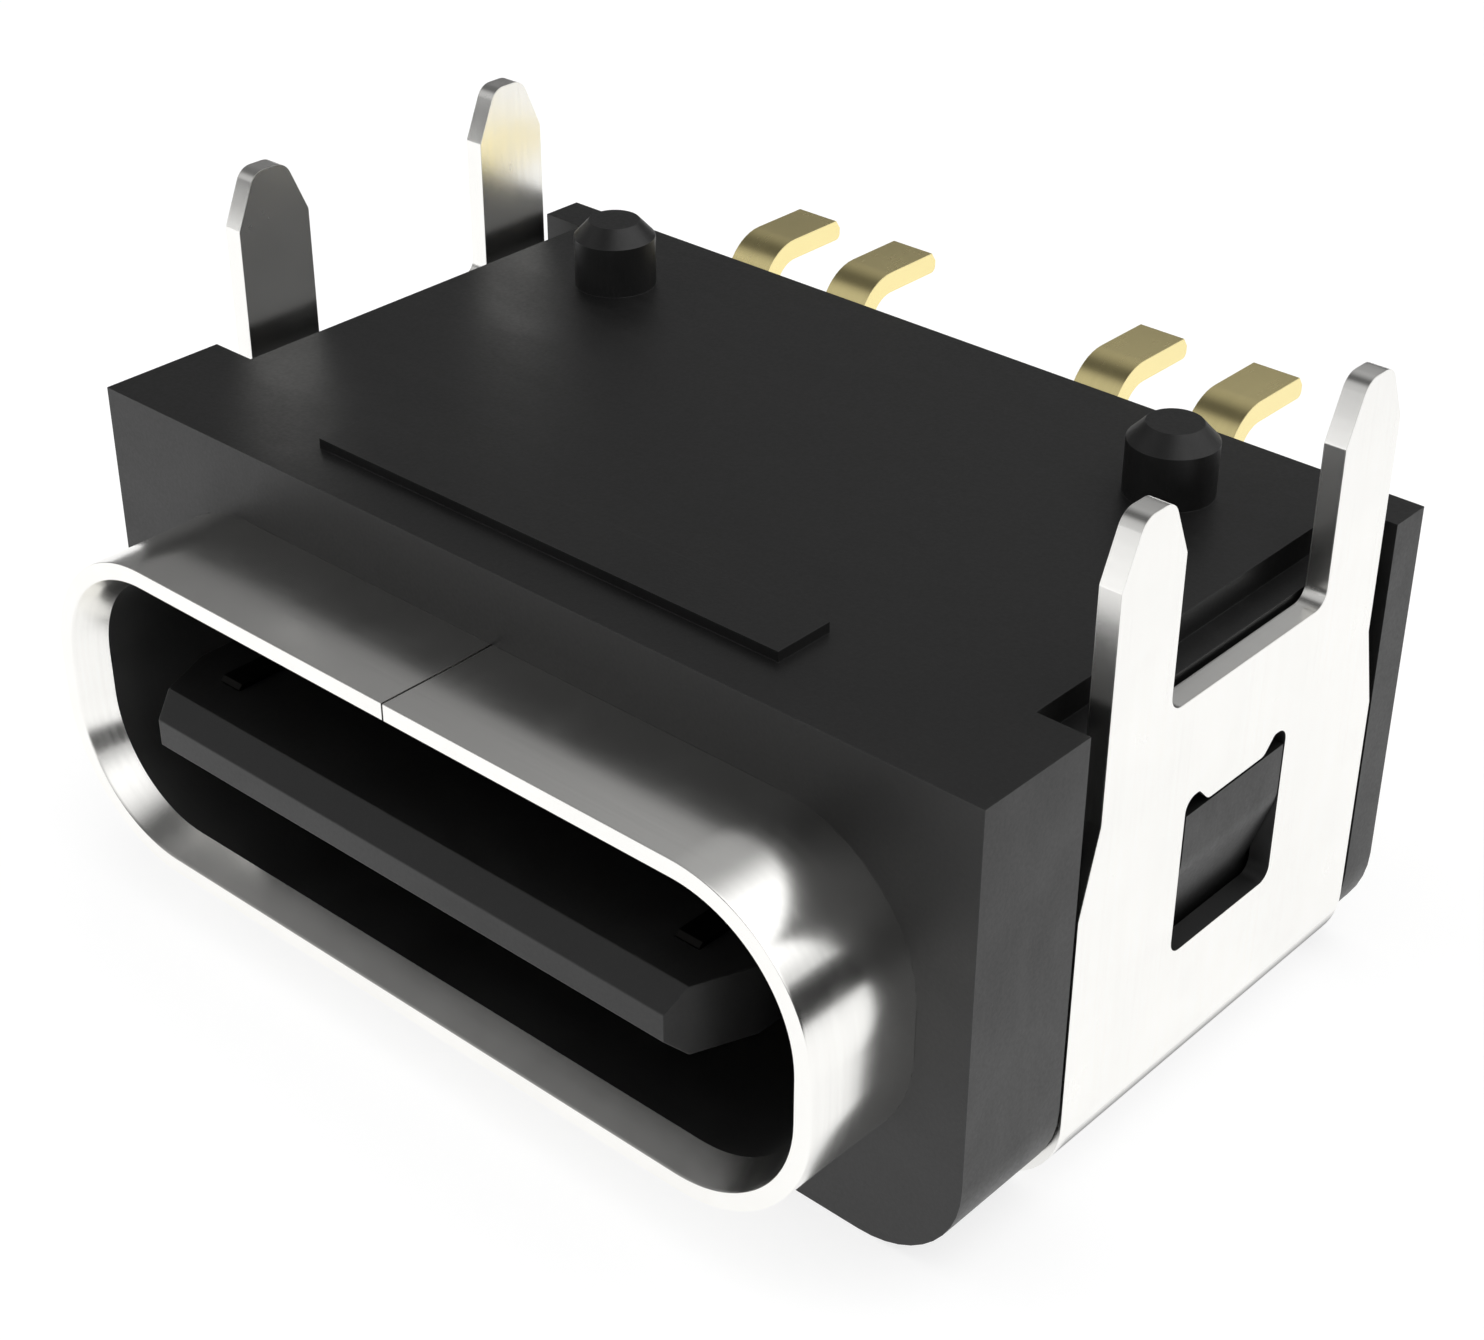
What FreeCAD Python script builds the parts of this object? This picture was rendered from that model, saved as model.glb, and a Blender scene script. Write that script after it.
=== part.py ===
import FreeCAD, Part
import math
import os

import Sketcher
from FreeCAD import Placement, Rotation, Vector
from types import SimpleNamespace

# Four-way power socket for a reversible plug, in millimetres, drawn with its board side up.
# Inside each piece x = 0 is the middle plane, y = 0 the front face of the housing and z = 0
# the housing's board-side face. The finished model stands on z = 0, the underside of the
# housing, with the middle of the housing over the origin and the mouth towards -y.

SIZES = (
    # Housing: walls round the bore, a flange at each end and a slimmer waist between them
    ("side_wall", "0.275"),
    ("board_wall", "0.69"),
    ("floor_wall", "0.44"),
    ("rear_flange", "0.435"),
    ("lower_corner", "1.0"),
    ("waist_step", "0.255"),
    ("waist_ledge", "0.25"),
    # Strip beside the mouth that holds the board off the housing
    ("strip_width", "5.29"),
    ("strip_depth", "0.6"),
    ("strip_setback", "0.505"),
    ("board_gap", "0.095"),
    # Posts that enter the board
    ("post_spread", "6.51"),
    ("post_setback", "4.805"),
    ("post_diameter", "0.8"),
    ("post_height", "0.65"),
    ("post_lead_radial", "0.16"),
    ("post_lead_height", "0.15"),
    # Wedges that catch the cover bracket
    ("wedge_top", "1.455"),
    ("wedge_flat", "0.525"),
    ("wedge_ramp", "0.74"),
    ("wedge_rounding", "0.6"),
    # Cover bracket: sheet folded round the waist, with four legs for the board
    ("bracket_sheet", "0.2"),
    ("bracket_gap", "0.04"),
    ("bracket_bend", "0.8"),
    ("leg_width", "0.82"),
    ("leg_pitch", "3.02"),
    ("leg_reach", "1.606"),
    ("leg_taper", "0.516"),
    ("leg_tip_width", "0.37"),
    ("crossbar_drop", "0.31"),
    ("shoulder_step", "0.2"),
    ("shoulder_drop", "0.92"),
    ("shoulder_length", "0.785"),
    ("leg_root_radius", "0.15"),
    ("leg_tip_radius", "0.18"),
    ("leg_taper_radius", "0.3"),
    ("shoulder_radius", "0.3"),
    # Window of the bracket, which snaps over the wedge
    ("window_width", "1.46"),
    ("window_catch_gap", "0.025"),
    ("window_side_gap", "0.0225"),
    ("window_sill_gap", "0.1"),
    ("window_corner", "0.13"),
    ("ear_width", "0.325"),
    ("ear_slope", "0.14"),
    ("ear_rise", "0.142"),
    ("ear_radius", "0.05"),
    ("ear_foot_radius", "0.1"),
    # Mouth shell: rolled tube with a butt seam on the board side
    ("mouth_width", "8.35"),
    ("mouth_height", "2.56"),
    ("mouth_corner", "1.07"),
    ("mouth_proud", "1.193"),
    ("cavity_depth", "6.2"),
    ("shell_wall", "0.3"),
    ("shell_gap", "0.01"),
    ("lead_in_radial", "0.14"),
    ("lead_in_depth", "0.305"),
    ("seam_gap", "0.02"),
    # Tongue moulding
    ("tongue_width", "6.7"),
    ("tongue_thickness", "0.656"),
    ("tongue_length", "4.45"),
    ("tongue_proud", "0.03"),
    ("nose_thickness", "0.258"),
    ("nose_bevel", "0.2"),
    ("nose_corner_width", "0.305"),
    ("nose_corner_length", "0.744"),
    ("root_step", "0.1"),
    ("root_thickness", "1.9"),
    ("plug_length", "0.44"),
    ("end_plate", "0.563"),
    ("notch_setback", "1.37"),
    ("notch_length", "1.2"),
    ("notch_depth", "0.42"),
    # Latch plate inside the tongue
    ("plate_thickness", "0.12"),
    ("plate_setback", "0.65"),
    ("plate_nose_step", "0.65"),
    ("plate_shoulder", "0.35"),
    ("plate_tail_step", "0.55"),
    ("plate_tail_length", "0.15"),
    ("plate_hole_width", "0.7"),
    ("plate_hole_length", "1.5"),
    ("plate_hole_spread", "4.0"),
    # Contacts: strip bent to a tail, with blades on both faces of the tongue
    ("strip_thickness", "0.21"),
    ("blade_width", "0.25"),
    ("blade_proud", "0.05"),
    ("blade_lead", "0.04"),
    ("ground_setback", "0.584"),
    ("power_setback", "1.3"),
    ("ground_spread", "5.5"),
    ("power_blade_spread", "2.5"),
    ("power_tail_spread", "3.0"),
    ("flare_setback", "0.2"),
    ("flare_length", "0.45"),
    ("rise_setback", "0.1"),
    ("rise_length", "0.36"),
    ("weld_setback", "0.57"),
    ("tail_width", "0.49"),
    ("tail_bend", "0.49"),
    ("tail_reach", "1.32"),
    ("leg_standoff", "0.13"),
    ("tail_end_rounding", "0.06"),
    ("tail_end_slant", "0.09"),
    # How far a cut runs past what it cuts
    ("overrun", "1.0"),
)


class Size:
    """A length as its present value together with its formula over the table of sizes."""

    def __init__(self, value, formula):
        self.value = value
        self.formula = formula

    def joined(self, sign, other, value):
        return Size(value, f"({self.formula} {sign} {other.formula})")

    def __add__(self, other):
        other = as_size(other)
        return self.joined("+", other, self.value + other.value)

    def __sub__(self, other):
        other = as_size(other)
        return self.joined("-", other, self.value - other.value)

    def __mul__(self, factor):
        factor = as_size(factor)
        return self.joined("*", factor, self.value * factor.value)

    def __truediv__(self, divisor):
        divisor = as_size(divisor)
        return self.joined("/", divisor, self.value / divisor.value)

    def __neg__(self):
        return self * -1


def as_size(number):
    if isinstance(number, Size):
        return number
    return Size(float(number), f"{float(number)}")


def size_table(doc):
    """Fill the table of sizes and return its lengths by name."""
    sheet = doc.addObject("Spreadsheet::Sheet", "Sizes")
    lengths = {}
    for row, (name, text) in enumerate(SIZES, start=1):
        sheet.set(f"A{row}", name)
        sheet.set(f"B{row}", text)
        sheet.setAlias(f"B{row}", name)
        lengths[name] = Size(float(text), f"Sizes.{name}")
    doc.recompute()
    return SimpleNamespace(**lengths)


def derive(s):
    """Places that several pieces share, worked out from the table."""
    s.zero = as_size(0)
    # Across: the bore, its walls, and the bracket outside the waist
    s.shell_half_width = s.mouth_width / 2 + s.shell_wall
    s.shell_half_height = s.mouth_height / 2 + s.shell_wall
    s.shell_corner = s.mouth_corner + s.shell_wall
    s.waist_half = s.shell_half_width + s.shell_gap + s.side_wall
    s.bracket_inner = s.waist_half + s.bracket_gap
    s.half_width = s.bracket_inner + s.bracket_sheet
    # Down from the board side
    s.mouth_middle = -(s.board_wall + s.shell_gap + s.shell_half_height)
    s.waist_low = s.mouth_middle - s.shell_half_height - s.shell_gap - s.floor_wall
    s.bracket_low = s.waist_low - s.bracket_gap
    s.body_height = -s.bracket_low + s.bracket_sheet
    # Along the plug's path
    s.cavity_end = s.cavity_depth - s.mouth_proud
    s.shell_end = s.cavity_end + s.plug_length
    s.body_length = s.shell_end + s.end_plate
    s.bracket_depth = s.leg_pitch + s.leg_width + s.shoulder_step * 2
    s.slot_end = s.body_length - s.rear_flange
    s.bracket_rear = s.slot_end - s.bracket_gap
    s.bracket_front = s.bracket_rear - s.bracket_depth
    s.slot_start = s.bracket_front - s.bracket_gap
    s.slot_middle = (s.slot_start + s.slot_end) / 2
    s.leg_middle_front = s.slot_middle - s.leg_pitch / 2
    s.leg_middle_rear = s.slot_middle + s.leg_pitch / 2
    s.wedge_bottom = s.wedge_top + s.wedge_flat + s.wedge_ramp
    s.wedge_width = s.window_width - s.window_side_gap * 2
    s.nose = -(s.mouth_proud + s.tongue_proud)
    s.root = s.nose + s.tongue_length
    s.notch_start = s.nose + s.notch_setback
    s.notch_end = s.notch_start + s.notch_length
    s.blade_outside = s.tongue_thickness / 2 + s.blade_proud
    s.blade_inside = s.blade_outside - s.strip_thickness
    s.flare_start = s.root + s.flare_setback
    s.flare_end = s.flare_start + s.flare_length
    return s


# Sketches and features

def new_body(doc, name, s):
    body = doc.addObject("PartDesign::Body", name)
    body.Label = name
    body.Placement = Placement(Vector(0, -s.body_length.value / 2, s.body_height.value), Rotation())
    body.setExpression("Placement.Base.y", (-s.body_length / 2).formula)
    body.setExpression("Placement.Base.z", s.body_height.formula)
    return body


def sketch_on(body, role, name, offset=None):
    """Sketch on one of the body's own planes, or offset along that plane's normal."""
    plane = next(item for item in body.Origin.OriginFeatures if item.Role == role)
    sketch = body.newObject("Sketcher::SketchObject", name)
    sketch.AttachmentSupport = [(plane, "")]
    sketch.MapMode = "FlatFace"
    if offset is not None:
        sketch.AttachmentOffset = Placement(Vector(0, 0, offset.value), Rotation())
        sketch.setExpression("AttachmentOffset.Base.z", offset.formula)
    return sketch


def bind(sketch, constraint, size):
    number = sketch.addConstraint(constraint)
    sketch.setExpression(f"Constraints[{number}]", size.formula)


def arc_between(start, end, radius, turn):
    """Arc from start to end, to the left of its path for turn 1, to the right for -1."""
    chord = end - start
    rise = math.sqrt(max(radius ** 2 - (chord.Length / 2) ** 2, 0.0))
    left = Vector(-chord.y, chord.x, 0).normalize()
    centre = start + chord * 0.5 + left * (rise * turn)
    angles = [math.atan2(p.y - centre.y, p.x - centre.x) for p in (start, end)]
    if turn < 0:
        angles.reverse()
    if angles[1] < angles[0]:
        angles[1] += 2 * math.pi
    circle = Part.Circle(centre, Vector(0, 0, 1), radius)
    return Part.ArcOfCircle(circle, angles[0], angles[1])


def outline(sketch, corners):
    """Closed outline through the corners, each held by its two coordinates.

    A corner is (across, up), or (across, up, radius, turn) where an arc leads on to the
    next corner.
    """
    points = [Vector(corner[0].value, corner[1].value, 0) for corner in corners]
    ends = []
    for number, corner in enumerate(corners):
        start = points[number]
        end = points[(number + 1) % len(points)]
        if len(corner) == 2:
            line = sketch.addGeometry(Part.LineSegment(start, end))
            ends.append((line, 1, 2))
            continue
        radius, turn = corner[2:]
        arc = sketch.addGeometry(arc_between(start, end, radius.value, turn))
        bind(sketch, Sketcher.Constraint("Radius", arc, radius.value), radius)
        ends.append((arc, 1, 2) if turn > 0 else (arc, 2, 1))
    for number, (line, first, last) in enumerate(ends):
        following, next_first, next_last = ends[(number + 1) % len(ends)]
        sketch.addConstraint(Sketcher.Constraint("Coincident", line, last, following, next_first))
        across, up = corners[number][:2]
        bind(sketch, Sketcher.Constraint("DistanceX", -1, 1, line, first, across.value), across)
        bind(sketch, Sketcher.Constraint("DistanceY", -1, 1, line, first, up.value), up)


def rectangle(sketch, left, right, low, high):
    outline(sketch, [(left, low), (right, low), (right, high), (left, high)])


def rounded_rectangle(sketch, half_width, middle, half_height, radius):
    """Rounded rectangle centred on the middle plane, at height middle."""
    low = middle - half_height
    high = middle + half_height
    flat = half_width - radius
    outline(sketch, [
        (-flat, low),
        (flat, low, radius, 1),
        (half_width, low + radius),
        (half_width, high - radius, radius, 1),
        (flat, high),
        (-flat, high, radius, 1),
        (-half_width, high - radius),
        (-half_width, low + radius, radius, 1),
    ])


def disc(sketch, across, up, radius):
    centre = Vector(across.value, up.value, 0)
    circle = sketch.addGeometry(Part.Circle(centre, Vector(0, 0, 1), radius.value))
    bind(sketch, Sketcher.Constraint("Radius", circle, radius.value), radius)
    bind(sketch, Sketcher.Constraint("DistanceX", -1, 1, circle, 3, across.value), across)
    bind(sketch, Sketcher.Constraint("DistanceY", -1, 1, circle, 3, up.value), up)


def set_size(feature, name, size):
    setattr(feature, name, size.value)
    feature.setExpression(name, size.formula)


def pad(body, sketch, length, side="One side", reverse=False):
    feature = body.newObject("PartDesign::Pad", sketch.Name + "_pad")
    feature.Profile = sketch
    feature.SideType = side
    feature.Reversed = reverse
    set_size(feature, "Length", length)
    return feature


def pocket(body, sketch, length):
    feature = body.newObject("PartDesign::Pocket", sketch.Name + "_pocket")
    feature.Profile = sketch
    set_size(feature, "Length", length)
    return feature


def pocket_through(body, sketch):
    feature = body.newObject("PartDesign::Pocket", sketch.Name + "_pocket")
    feature.Profile = sketch
    feature.Type = "ThroughAll"
    feature.SideType = "Symmetric"
    return feature


def edges_where(feature, test):
    """Names of the feature's edges whose end points all pass the test."""
    feature.Document.recompute()
    names = []
    for number, edge in enumerate(feature.Shape.Edges, start=1):
        if all(test(vertex.Point) for vertex in edge.Vertexes):
            names.append(f"Edge{number}")
    if not names:
        raise ValueError(f"no edge to dress on {feature.Label}")
    return names


def edges_across(feature, places):
    """Names of the edges that run along x through the given places (y, z)."""
    names = []
    for y, z in places:
        names += edges_where(
            feature, lambda point: math.hypot(point.y - y.value, point.z - z.value) < 1e-4)
    return names


def fillet(body, feature, name, names, radius):
    result = body.newObject("PartDesign::Fillet", name)
    result.Base = (feature, names)
    set_size(result, "Radius", radius)
    return result


def chamfer(body, feature, name, names, first, second, flip=False):
    result = body.newObject("PartDesign::Chamfer", name)
    result.Base = (feature, names)
    result.ChamferType = "Two distances"
    set_size(result, "Size", first)
    set_size(result, "Size2", second)
    result.FlipDirection = flip
    return result


# Pieces

def housing(doc, s):
    """Moulded body with flanges, waist, latch wedges, stand-off strip, posts and bore."""
    body = new_body(doc, "housing", s)
    corner_height = s.lower_corner - s.body_height
    foot = s.half_width - s.lower_corner

    section = sketch_on(body, "XZ_Plane", "flange_outline")
    outline(section, [
        (-s.half_width, s.zero),
        (-s.half_width, corner_height, s.lower_corner, 1),
        (-foot, -s.body_height),
        (foot, -s.body_height, s.lower_corner, 1),
        (s.half_width, corner_height),
        (s.half_width, s.zero),
    ])
    pad(body, section, s.body_length, reverse=True)

    # The waist leaves room for the bracket's sheet on both sides and underneath
    waist = sketch_on(body, "XZ_Plane", "waist_outline", -s.slot_start)
    outer = s.half_width + s.overrun
    rectangle(waist, -outer, outer, -s.body_height - s.overrun, s.overrun)
    waist_corner = s.bracket_bend - s.bracket_sheet - s.bracket_gap
    waist_foot = s.waist_half - waist_corner
    waist_top = s.waist_half - s.waist_step
    outline(waist, [
        (-waist_top, s.overrun / 2),
        (-waist_top, -s.waist_ledge),
        (-s.waist_half, -s.waist_ledge),
        (-s.waist_half, s.waist_low + waist_corner, waist_corner, 1),
        (-waist_foot, s.waist_low),
        (waist_foot, s.waist_low, waist_corner, 1),
        (s.waist_half, s.waist_low + waist_corner),
        (s.waist_half, -s.waist_ledge),
        (waist_top, -s.waist_ledge),
        (waist_top, s.overrun / 2),
    ])
    pocket(body, waist, s.slot_end - s.slot_start)

    # Wedges: a flat flush with the bracket, then a ramp down to the waist wall
    wedges = sketch_on(body, "XZ_Plane", "wedge_outline", s.wedge_width / 2 - s.slot_middle)
    ramp_start = -s.wedge_top - s.wedge_flat
    inside = s.waist_half - s.shell_gap
    for side in (1, -1):
        outline(wedges, [
            (inside * side, -s.wedge_top),
            (s.half_width * side, -s.wedge_top),
            (s.half_width * side, ramp_start),
            (s.waist_half * side, -s.wedge_bottom),
            (inside * side, -s.wedge_bottom),
        ])
    wedge_pad = pad(body, wedges, s.wedge_width, reverse=True)

    def on_ramp_start(point):
        return abs(abs(point.x) - s.half_width.value) < 1e-4 and abs(point.z - ramp_start.value) < 1e-4
    ramp_edges = edges_where(wedge_pad, on_ramp_start)
    fillet(body, wedge_pad, "wedge_rounding", ramp_edges, s.wedge_rounding)

    strip = sketch_on(body, "XY_Plane", "strip_outline")
    strip_half = s.strip_width / 2
    rectangle(strip, -strip_half, strip_half, s.strip_setback, s.strip_setback + s.strip_depth)
    pad(body, strip, s.board_gap)

    posts = sketch_on(body, "XY_Plane", "post_outline")
    for side in (1, -1):
        disc(posts, s.post_spread / 2 * side, s.post_setback, s.post_diameter / 2)
    post_pad = pad(body, posts, s.post_height)
    tops = edges_where(post_pad, lambda point: abs(point.z - s.post_height.value) < 1e-4)
    chamfer(body, post_pad, "post_lead", tops, s.post_lead_radial, s.post_lead_height)

    bore = sketch_on(body, "XZ_Plane", "bore_outline")
    rounded_rectangle(bore, s.shell_half_width + s.shell_gap, s.mouth_middle,
                      s.shell_half_height + s.shell_gap, s.shell_corner + s.shell_gap)
    pocket_through(body, bore)
    return body


def mouth_shell(doc, s):
    """Rolled tube with a lead-in round the mouth and a butt seam on the board side."""
    body = new_body(doc, "mouth_shell", s)
    rings = sketch_on(body, "XZ_Plane", "tube_outline", s.mouth_proud)
    rounded_rectangle(rings, s.shell_half_width, s.mouth_middle, s.shell_half_height, s.shell_corner)
    rounded_rectangle(rings, s.mouth_width / 2, s.mouth_middle, s.mouth_height / 2, s.mouth_corner)
    tube = pad(body, rings, s.mouth_proud + s.shell_end, reverse=True)

    def on_inner_rim(point):
        inside_width = abs(point.x) < s.mouth_width.value / 2 + 1e-4
        inside_height = abs(point.z - s.mouth_middle.value) < s.mouth_height.value / 2 + 1e-4
        return abs(point.y + s.mouth_proud.value) < 1e-4 and inside_width and inside_height
    rim = edges_where(tube, on_inner_rim)
    chamfer(body, tube, "lead_in", rim, s.lead_in_depth, s.lead_in_radial)

    seam = sketch_on(body, "XY_Plane", "seam_outline")
    rectangle(seam, -s.seam_gap / 2, s.seam_gap / 2,
              -s.mouth_proud - s.overrun, s.shell_end + s.overrun)
    pocket(body, seam, -s.mouth_middle)
    return body


def cover_bracket(doc, s):
    """Sheet folded round the waist from below, with four board legs and two windows."""
    body = new_body(doc, "cover_bracket", s)
    edge = s.half_width
    inner = s.bracket_inner
    bend_top = s.bracket_bend - s.body_height
    foot = edge - s.bracket_bend
    inner_bend = s.bracket_bend - s.bracket_sheet
    top = s.leg_reach + s.overrun

    fold = sketch_on(body, "XZ_Plane", "fold_outline", s.overrun - s.bracket_front)
    outline(fold, [
        (-edge, top),
        (-edge, bend_top, s.bracket_bend, 1),
        (-foot, -s.body_height),
        (foot, -s.body_height, s.bracket_bend, 1),
        (edge, bend_top),
        (edge, top),
        (inner, top),
        (inner, bend_top, inner_bend, -1),
        (foot, s.bracket_low),
        (-foot, s.bracket_low, inner_bend, -1),
        (-inner, bend_top),
        (-inner, top),
    ])
    pad(body, fold, s.bracket_depth + s.overrun * 2, reverse=True)

    # Everything outside the side outline comes off both walls at once
    half_leg = s.leg_width / 2
    half_tip = s.leg_tip_width / 2
    taper_foot = s.leg_reach - s.leg_taper
    leg_edges = []
    tips = []
    tapers = []
    for middle in (s.leg_middle_front, s.leg_middle_rear):
        tapers += [(middle - half_leg, taper_foot), (middle + half_leg, taper_foot)]
        tips += [(middle - half_tip, s.leg_reach), (middle + half_tip, s.leg_reach)]
        leg_edges += [middle - half_leg, middle + half_leg]
    roots = [(leg_edges[1], -s.crossbar_drop), (leg_edges[2], -s.crossbar_drop)]
    shoulder_low = -s.shoulder_drop - s.shoulder_length
    shoulders = [
        (s.bracket_front, shoulder_low),
        (leg_edges[0], -s.shoulder_drop),
        (leg_edges[3], -s.shoulder_drop),
        (s.bracket_rear, shoulder_low),
    ]
    low = -s.body_height - s.overrun / 2
    side = sketch_on(body, "YZ_Plane", "side_outline")
    margin = s.overrun * 2
    rectangle(side, s.bracket_front - margin, s.bracket_rear + margin,
              low - s.overrun, s.leg_reach + margin)
    outline(side, [
        (s.bracket_front, low),
        shoulders[0], shoulders[1],
        tapers[0], tips[0], tips[1], tapers[1],
        roots[0], roots[1],
        tapers[2], tips[2], tips[3], tapers[3],
        shoulders[2], shoulders[3],
        (s.bracket_rear, low),
    ])
    trimmed = pocket_through(body, side)

    for name, places, radius in (
        ("leg_roots", roots, s.leg_root_radius),
        ("leg_tips", tips, s.leg_tip_radius),
        ("leg_tapers", tapers, s.leg_taper_radius),
        ("shoulders", shoulders, s.shoulder_radius),
    ):
        trimmed = fillet(body, trimmed, name, edges_across(trimmed, places), radius)

    # The window's upper corners are relieved by ears, so that its bar can spring
    left = s.slot_middle - s.window_width / 2
    right = s.slot_middle + s.window_width / 2
    bar = s.window_catch_gap - s.wedge_top
    ear_top = bar + s.ear_rise
    ear_feet = [(right - s.ear_width, bar), (left + s.ear_width, bar)]
    ear_crests = [
        (right - s.ear_width + s.ear_slope, ear_top),
        (left + s.ear_width - s.ear_slope, ear_top),
    ]
    sill = -s.wedge_bottom - s.window_sill_gap
    corners = [(left, sill), (right, sill), (right, ear_top), (left, ear_top)]
    window = sketch_on(body, "YZ_Plane", "window_outline")
    outline(window, corners[:3] + [ear_crests[0]] + ear_feet + [ear_crests[1], corners[3]])
    cut = pocket_through(body, window)
    for name, places, radius in (
        ("window_corners", corners, s.window_corner),
        ("ear_crests", ear_crests, s.ear_radius),
        ("ear_feet", ear_feet, s.ear_foot_radius),
    ):
        cut = fillet(body, cut, name, edges_across(cut, places), radius)
    return body


def mid_plate(doc, s):
    """Flat latch plate that lies in the tongue, flush with its sides and notched there."""
    body = new_body(doc, "mid_plate", s)
    edge = s.tongue_width / 2
    notch = edge - s.notch_depth
    nose = edge - s.plate_nose_step
    tail = edge - s.plate_tail_step
    front = s.nose + s.plate_setback
    shoulder = s.notch_start - s.plate_shoulder
    rear = s.root + s.plate_tail_length
    right = [
        (nose, front),
        (nose, shoulder),
        (edge, shoulder),
        (edge, s.notch_start),
        (notch, s.notch_start),
        (notch, s.notch_end),
        (edge, s.notch_end),
        (edge, s.root),
        (tail, s.root),
        (tail, rear),
    ]
    left = [(-across, up) for across, up in reversed(right)]
    plan = sketch_on(body, "XY_Plane", "plate_outline", s.mouth_middle)
    outline(plan, right + left)
    for side in (1, -1):
        middle = s.plate_hole_spread / 2 * side
        rectangle(plan, middle - s.plate_hole_width / 2, middle + s.plate_hole_width / 2,
                  s.notch_start, s.notch_start + s.plate_hole_length)
    pad(body, plan, s.plate_thickness, side="Symmetric")
    return body


def blade_plan(sketch, s, blade, tail, tip, end):
    """Plan of a contact from its tip along the tongue, flaring to the tail's width."""
    half_blade = s.blade_width / 2
    half_tail = s.tail_width / 2
    outline(sketch, [
        (blade - half_blade, tip),
        (blade + half_blade, tip),
        (blade + half_blade, s.flare_start),
        (tail + half_tail, s.flare_end),
        (tail + half_tail, end),
        (tail - half_tail, end),
        (tail - half_tail, s.flare_end),
        (blade - half_blade, s.flare_start),
    ])


def upper_contact(doc, s, name, blade, tail, setback):
    """Board-side contact: blade, run through the moulding, upright leg and flat tail."""
    body = new_body(doc, name, s)
    tip = s.nose + setback
    top = s.mouth_middle + s.blade_outside
    under = top - s.strip_thickness
    back = s.body_length

    plan = sketch_on(body, "XY_Plane", name + "_plan", top)
    blade_plan(plan, s, blade, tail, tip, back)
    strip = pad(body, plan, s.strip_thickness, reverse=True)

    def on_tip(point):
        return abs(point.y - tip.value) < 1e-4 and abs(point.z - top.value) < 1e-4
    lead_edges = edges_where(strip, on_tip)
    chamfer(body, strip, name + "_lead", lead_edges, s.blade_lead, s.blade_lead)

    # Side view of the leg behind the housing and of the tail that lies on the board
    lower_bend = s.leg_standoff
    leg_front = back + s.leg_standoff
    leg_rear = leg_front + s.strip_thickness
    tail_top = s.board_gap
    tail_under = tail_top - s.strip_thickness
    bend_height = tail_top - s.tail_bend
    tail_start = leg_front + s.tail_bend
    end = back + s.tail_reach
    side = sketch_on(body, "YZ_Plane", name + "_side", tail)
    outline(side, [
        (back, top, lower_bend, 1),
        (leg_front, top + lower_bend),
        (leg_front, bend_height, s.tail_bend, -1),
        (tail_start, tail_top),
        (end - s.tail_end_rounding, tail_top),
        (end, tail_top - s.tail_end_slant),
        (end, tail_under + s.tail_end_rounding, s.tail_end_rounding, -1),
        (end - s.tail_end_rounding, tail_under),
        (tail_start, tail_under, s.tail_bend - s.strip_thickness, 1),
        (leg_rear, bend_height),
        (leg_rear, top + lower_bend, lower_bend + s.strip_thickness, -1),
        (back, under),
    ])
    pad(body, side, s.tail_width, side="Symmetric")
    return body


def lower_contact(doc, s, name, blade, tail, setback):
    """Contact of the far face, which rises behind the latch plate to its weld."""
    body = new_body(doc, name, s)
    tip = s.nose + setback
    under = s.mouth_middle - s.blade_outside
    top = under + s.strip_thickness

    rise_start = s.flare_end + s.rise_setback
    plan = sketch_on(body, "XY_Plane", name + "_plan", under)
    blade_plan(plan, s, blade, tail, tip, rise_start)
    strip = pad(body, plan, s.strip_thickness)

    def on_tip(point):
        return abs(point.y - tip.value) < 1e-4 and abs(point.z - under.value) < 1e-4
    lead_edges = edges_where(strip, on_tip)
    chamfer(body, strip, name + "_lead", lead_edges, s.blade_lead, s.blade_lead)

    weld_top = s.mouth_middle + s.blade_inside
    weld_under = weld_top - s.strip_thickness
    rise_end = rise_start + s.rise_length
    end = s.body_length - s.weld_setback
    side = sketch_on(body, "YZ_Plane", name + "_side", tail)
    outline(side, [
        (rise_start, under),
        (rise_end, weld_under),
        (end, weld_under),
        (end, weld_top),
        (rise_end, weld_top),
        (rise_start, top),
    ])
    pad(body, side, s.tail_width, side="Symmetric")
    return body


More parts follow.
